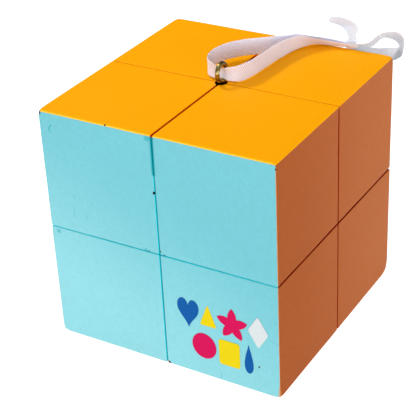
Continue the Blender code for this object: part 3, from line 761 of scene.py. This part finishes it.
def ribbon(name, node, stations, look, both_tied=True):
    """A woven strip through its stations, with a firmer edge along both sides."""
    stations = [towards_knot(stations[0])] + stations
    if both_tied:
        stations.append(towards_knot(stations[-1]))
    rows = [(*centre, *width, half, cup) for centre, width, half, cup in stations]
    rows = smooth_rows(rows, RIBBON_STEPS)
    bm = bmesh.new()
    layer = bm.loops.layers.uv.new("UVMap")
    lines, travelled = [], 0.0
    for index, row in enumerate(rows):
        centre = Vector(row[0:3])
        width = Vector(row[3:6]).normalized()
        ahead = Vector(rows[min(index + 1, len(rows) - 1)][0:3])
        behind = Vector(rows[max(index - 1, 0)][0:3])
        normal = (ahead - behind).cross(width).normalized()
        if index:
            travelled += (centre - Vector(rows[index - 1][0:3])).length
        ripple = RIPPLE * math.sin(travelled * 2 * math.pi / RIPPLE_LENGTH)
        ripple += UNEVEN_EDGE * noise.noise(centre * UNEVEN_EDGE_SCALE)
        half, cup = row[6] + ripple, row[7]
        outline = []
        for face in (1, -1):
            for column in range(RIBBON_COLUMNS + 1):
                share = (2 * column / RIBBON_COLUMNS - 1) * face
                edge = max(0.0, (abs(share) - SELVEDGE_START) / (1 - SELVEDGE_START))
                swell = SELVEDGE * math.sin(math.pi * edge) ** 0.5 if 0 < edge < 1 else 0.0
                thick = RIBBON_THICKNESS / 2 * (1 - edge ** 6)
                thick += max(0.0, swell - RIBBON_THICKNESS / 2) * 0.5
                if 0 < column < RIBBON_COLUMNS or face == 1:
                    raised = cup * (1 - share ** 2) + face * thick
                    point = centre + width * share * half + normal * raised
                    outline.append((bm.verts.new(point * MM + TOP), (travelled, share * half)))
        lines.append(outline)
    for first, second in zip(lines, lines[1:]):
        count = len(first)
        for index in range(count):
            corners = (first[index - 1], first[index], second[index], second[index - 1])
            face = bm.faces.new([vert for vert, _ in corners])
            for loop, (_, uv) in zip(face.loops, corners):
                loop[layer].uv = uv
    bm.faces.new([vert for vert, _ in lines[0]])
    bm.faces.new([vert for vert, _ in reversed(lines[-1])])
    bmesh.ops.recalc_face_normals(bm, faces=bm.faces)
    strip = mesh_from(bm, name)
    smooth_shade(strip, 60)
    strip.data.materials.append(look)
    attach(strip, NODE_BODY[node])
    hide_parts(node)
    return strip


def build_ribbon():
    # One white satin in three tones: the bow's greyer tone, also on the knot, is painted shade
    # where it hangs behind the cube, and the tail's bluer tone is painted cool light that offsets
    # the orange bounced onto it
    loop_look = satin("satin_loop", colour(202, 202, 232), colour(244, 244, 255))
    bow_shaded_look = satin("satin_bow_painted_shade", colour(204, 199, 206), colour(226, 221, 226))
    tail_cool_lit_look = satin("satin_tail_painted_light", colour(208, 223, 252), colour(229, 241, 255))
    ribbon("ribbon_loop_woven", "ribbon_loop", LOOP_STATIONS, loop_look)
    ribbon("ribbon_bow_woven", "ribbon_bow", BOW_STATIONS, bow_shaded_look)
    ribbon("ribbon_tail_woven", "ribbon_tail", TAIL_STATIONS, tail_cool_lit_look, both_tied=False)
    bm = bmesh.new()
    layer = bm.loops.layers.uv.new("UVMap")
    bmesh.ops.create_uvsphere(bm, u_segments=48, v_segments=32, radius=1.0)
    for vert in bm.verts:
        round_about, up = math.atan2(vert.co.y, vert.co.x), vert.co.z
        folds = KNOT_FOLDS * math.sin(5 * (up + 0.4 * vert.co.x))
        vert.co *= 1 + folds + KNOT_FLATS * math.sin(2 * round_about)
        vert.co.x *= 1 + KNOT_FLARE * abs(vert.co.x)
    for face in bm.faces:
        for loop in face.loops:
            place = loop.vert.co
            loop[layer].uv = (place.z * 1.2 + place.x * 0.5, math.atan2(place.y, place.x))
    bmesh.ops.scale(bm, vec=Vector(KNOT_RADII) * MM, verts=bm.verts)
    bmesh.ops.translate(bm, vec=TOP + Vector(KNOT_CENTRE) * MM, verts=bm.verts)
    knot = mesh_from(bm, "ribbon_knot_tied")
    smooth_shade(knot, 60)
    knot.data.materials.append(bow_shaded_look)
    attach(knot, NODE_BODY["ribbon_knot"])
    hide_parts("ribbon_knot")


# ---------------------------------------------------------------- printed shapes

def shape_outline(kind, steps=72):
    """Points of a simple shape, anticlockwise, inside a square from -1 to 1."""
    points = []
    for step in range(steps):
        angle = 2 * math.pi * step / steps
        if kind == "disc":
            points.append((math.cos(angle), math.sin(angle)))
        elif kind == "heart":
            up = 13 * math.cos(angle) - 5 * math.cos(2 * angle)
            up = up - 2 * math.cos(3 * angle) - math.cos(4 * angle) + 2.5
            points.append((math.sin(angle) ** 3 * -1, up / 14.5))
        elif kind == "drop":
            points.append((-math.sin(angle) * math.sin(angle / 2) ** 1.5 * 0.98, math.cos(angle)))
        elif kind == "star":
            wave = abs((angle / (2 * math.pi) * 5) % 1 - 0.5) * 2
            radius = 0.46 + 0.54 * wave ** 1.1
            points.append((-math.sin(angle) * radius, math.cos(angle) * radius))
        else:
            corners = {"triangle": 3, "square": 4, "diamond": 4}[kind]
            turn = math.pi / 4 if kind == "square" else 0
            sector = (angle + turn) % (2 * math.pi / corners) - math.pi / corners
            radius = math.cos(math.pi / corners) / math.cos(sector)
            radius = min(radius, 0.93)
            scale = 1.36 if kind == "square" else 1.06
            points.append((-math.sin(angle) * radius * scale, math.cos(angle) * radius * scale))
    return points


def ink(name, tone):
    """Printed ink: slightly uneven cover and a faint gloss."""
    made = Nodes(name)
    cover = made.spread(made.noise(2600, 3, 0.6), 0.25, 0.75, 0.93, 1.03, smooth=False)
    made.set(Base_Color=made.mix(1.0, tone, cover, "MULTIPLY"), Specular_IOR_Level=0.06,
             Roughness=made.spread(made.noise(1800, 2), 0.3, 0.7, 0.32, 0.42, smooth=False))
    made.bump(made.noise(3000, 2), 0.2, 0.02 * MM)
    return made.material


def build_prints():
    """A small group of plain shapes on the lower right of the front face."""
    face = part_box("cubie_bottom_front_right")[0].y
    for name, kind, (x, z), width, height, tone in PRINTS:
        bm = bmesh.new()
        outline = [bm.verts.new(((x + across * width / 2) * MM, face, (z + up * height / 2) * MM))
                   for across, up in shape_outline(kind)]
        bm.faces.new(outline)
        bmesh.ops.recalc_face_normals(bm, faces=bm.faces)
        made = bmesh.ops.extrude_face_region(bm, geom=bm.faces[:])
        raised = [item for item in made["geom"] if isinstance(item, bmesh.types.BMVert)]
        bmesh.ops.translate(bm, vec=(0, -INK_THICKNESS, 0), verts=raised)
        bmesh.ops.recalc_face_normals(bm, faces=bm.faces)
        shape = mesh_from(bm, name)
        soften = shape.modifiers.new("soft_rim", "BEVEL")
        soften.width = INK_THICKNESS * 0.6
        soften.segments = 2
        soften.limit_method = "ANGLE"
        smooth_shade(shape, 50)
        shape.data.materials.append(ink(name, tone))
        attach(shape, NODE_BODY["cubie_bottom_front_right"])


# ---------------------------------------------------------------- the mechanism inside

def moulded(name, tone, glint):
    """Moulded plastic: a spark-eroded texture, flow marks and a slightly uneven gloss."""
    made = Nodes(name)
    flow = made.noise(180, 3, 0.5)
    grain = made.noise(5200, 2)
    shade = made.spread(flow, 0.3, 0.7, 0.88, 1.08, smooth=False)
    rough = made.spread(made.math("ADD", flow, grain), 0.7, 1.3, glint, glint + 0.14, smooth=False)
    made.set(Base_Color=made.mix(1.0, tone, shade, "MULTIPLY"), Roughness=rough)
    made.set(Specular_IOR_Level=0.45)
    made.bump(made.math("ADD", grain, made.math("MULTIPLY", flow, 0.5)), 0.3, 0.02 * MM)
    return made.material


def zinc():
    """Bright zinc on steel: drawn lines, cloudy plating and small dull spots."""
    made = Nodes("zinc_plated_steel")
    cloud = made.noise(700, 4, 0.6)
    around = made.vector("MULTIPLY", made.coordinates.outputs["Object"], (900, 900, 9000))
    lines = made.noise(1.0, 3, 0.6, vector=around)
    tone = made.mix(made.spread(cloud, 0.35, 0.65), colour(176, 180, 186), colour(206, 208, 210))
    rough = made.spread(made.math("ADD", cloud, lines), 0.7, 1.3, 0.18, 0.38, smooth=False)
    made.set(Base_Color=tone, Metallic=1.0, Roughness=rough)
    made.bump(lines, 0.15, 0.01 * MM)
    return made.material


def finish_mechanism():
    """The frame's own core, edges, feet, centres, screws, springs and washers keep their shape."""
    looks = {
        "black_plastic": moulded("black_moulded_plastic", colour(34, 34, 36), 0.42),
        "white_plastic": moulded("white_moulded_nylon", colour(224, 225, 228), 0.36),
        "steel": zinc(),
    }
    for node, obj in frame["nodes"].items():
        look = looks.get(NODE_SLOT[node])
        if look:
            for slot in obj.material_slots:
                slot.material = look


# ---------------------------------------------------------------- camera, light and floor

def build_camera():
    back = Vector((math.sin(AZIMUTH) * math.cos(ELEVATION),
                   -math.cos(AZIMUTH) * math.cos(ELEVATION),
                   math.sin(ELEVATION)))
    level = Vector((0, 0, 1)).cross(back).normalized()
    upward = back.cross(level)
    across = math.cos(ROLL) * level + math.sin(ROLL) * upward
    up = math.cos(ROLL) * upward - math.sin(ROLL) * level
    camera = bpy.data.cameras.new("camera")
    camera.sensor_width = SENSOR
    camera.lens = FOCAL_LENGTH
    camera.clip_start = 0.01
    camera.clip_end = 20
    holder = bpy.data.objects.new("camera", camera)
    bpy.context.scene.collection.objects.link(holder)
    turn = Matrix((across, up, back)).transposed()
    place = CENTRE + back * DISTANCE - across * SHIFT_RIGHT - up * SHIFT_UP
    holder.matrix_world = Matrix.Translation(place) @ turn.to_4x4()
    bpy.context.scene.camera = holder


def area_light(name, place, size, power):
    lamp = bpy.data.lights.new(name, "AREA")
    lamp.shape = "DISK"
    lamp.size = size
    lamp.energy = power
    holder = bpy.data.objects.new(name, lamp)
    bpy.context.scene.collection.objects.link(holder)
    holder.location = place
    holder.rotation_euler = (CENTRE - Vector(place)).to_track_quat("-Z", "Y").to_euler()


def build_studio():
    scene = bpy.context.scene
    scene.view_settings.view_transform = "Standard"
    scene.world = bpy.data.worlds.new("studio")
    scene.world.use_nodes = True
    tree = scene.world.node_tree
    tree.nodes["Background"].inputs["Color"].default_value = (1, 1, 1, 1)
    direction = tree.nodes.new("ShaderNodeTexCoord")
    flag = tree.nodes.new("ShaderNodeVectorMath")
    flag.operation = "DOT_PRODUCT"
    flag.inputs[1].default_value = FLAG_DIRECTION
    strength = tree.nodes.new("ShaderNodeMapRange")
    strength.interpolation_type = "SMOOTHSTEP"
    for socket, number in zip(strength.inputs[1:5], (*FLAG_FADE, WORLD_LIGHT, FLAG_LIGHT)):
        socket.default_value = number
    tree.links.new(direction.outputs["Generated"], flag.inputs[0])
    tree.links.new(flag.outputs["Value"], strength.inputs[0])
    tree.links.new(strength.outputs[0], tree.nodes["Background"].inputs["Strength"])

    for lamp in LAMPS:
        area_light(*lamp)
    reach = FLOOR_REACH
    mesh = bpy.data.meshes.new("floor")
    corners = [(-reach, -reach, 0), (reach, -reach, 0), (reach, reach, 0), (-reach, reach, 0)]
    mesh.from_pydata(corners, [], [(0, 1, 2, 3)])
    floor = link(mesh, "floor")
    floor.location.z = -FLOOR_DROP
    look = Nodes("floor")
    tone = look.spread(look.noise(6, 3), 0.3, 0.7, *FLOOR_TONES, smooth=False)
    look.set(Base_Color=tone, Roughness=0.9)
    look.set(Emission_Color=(1, 1, 1, 1), Emission_Strength=FLOOR_GLOW)
    mesh.materials.append(look.material)


paint = cube_paint()
for node in sorted(frame["nodes"]):
    if node.startswith("cubie_"):
        cubie(node, NODE_BODY[node], paint)
build_eye_screw()
build_ribbon()
build_prints()
finish_mechanism()
build_camera()
build_studio()
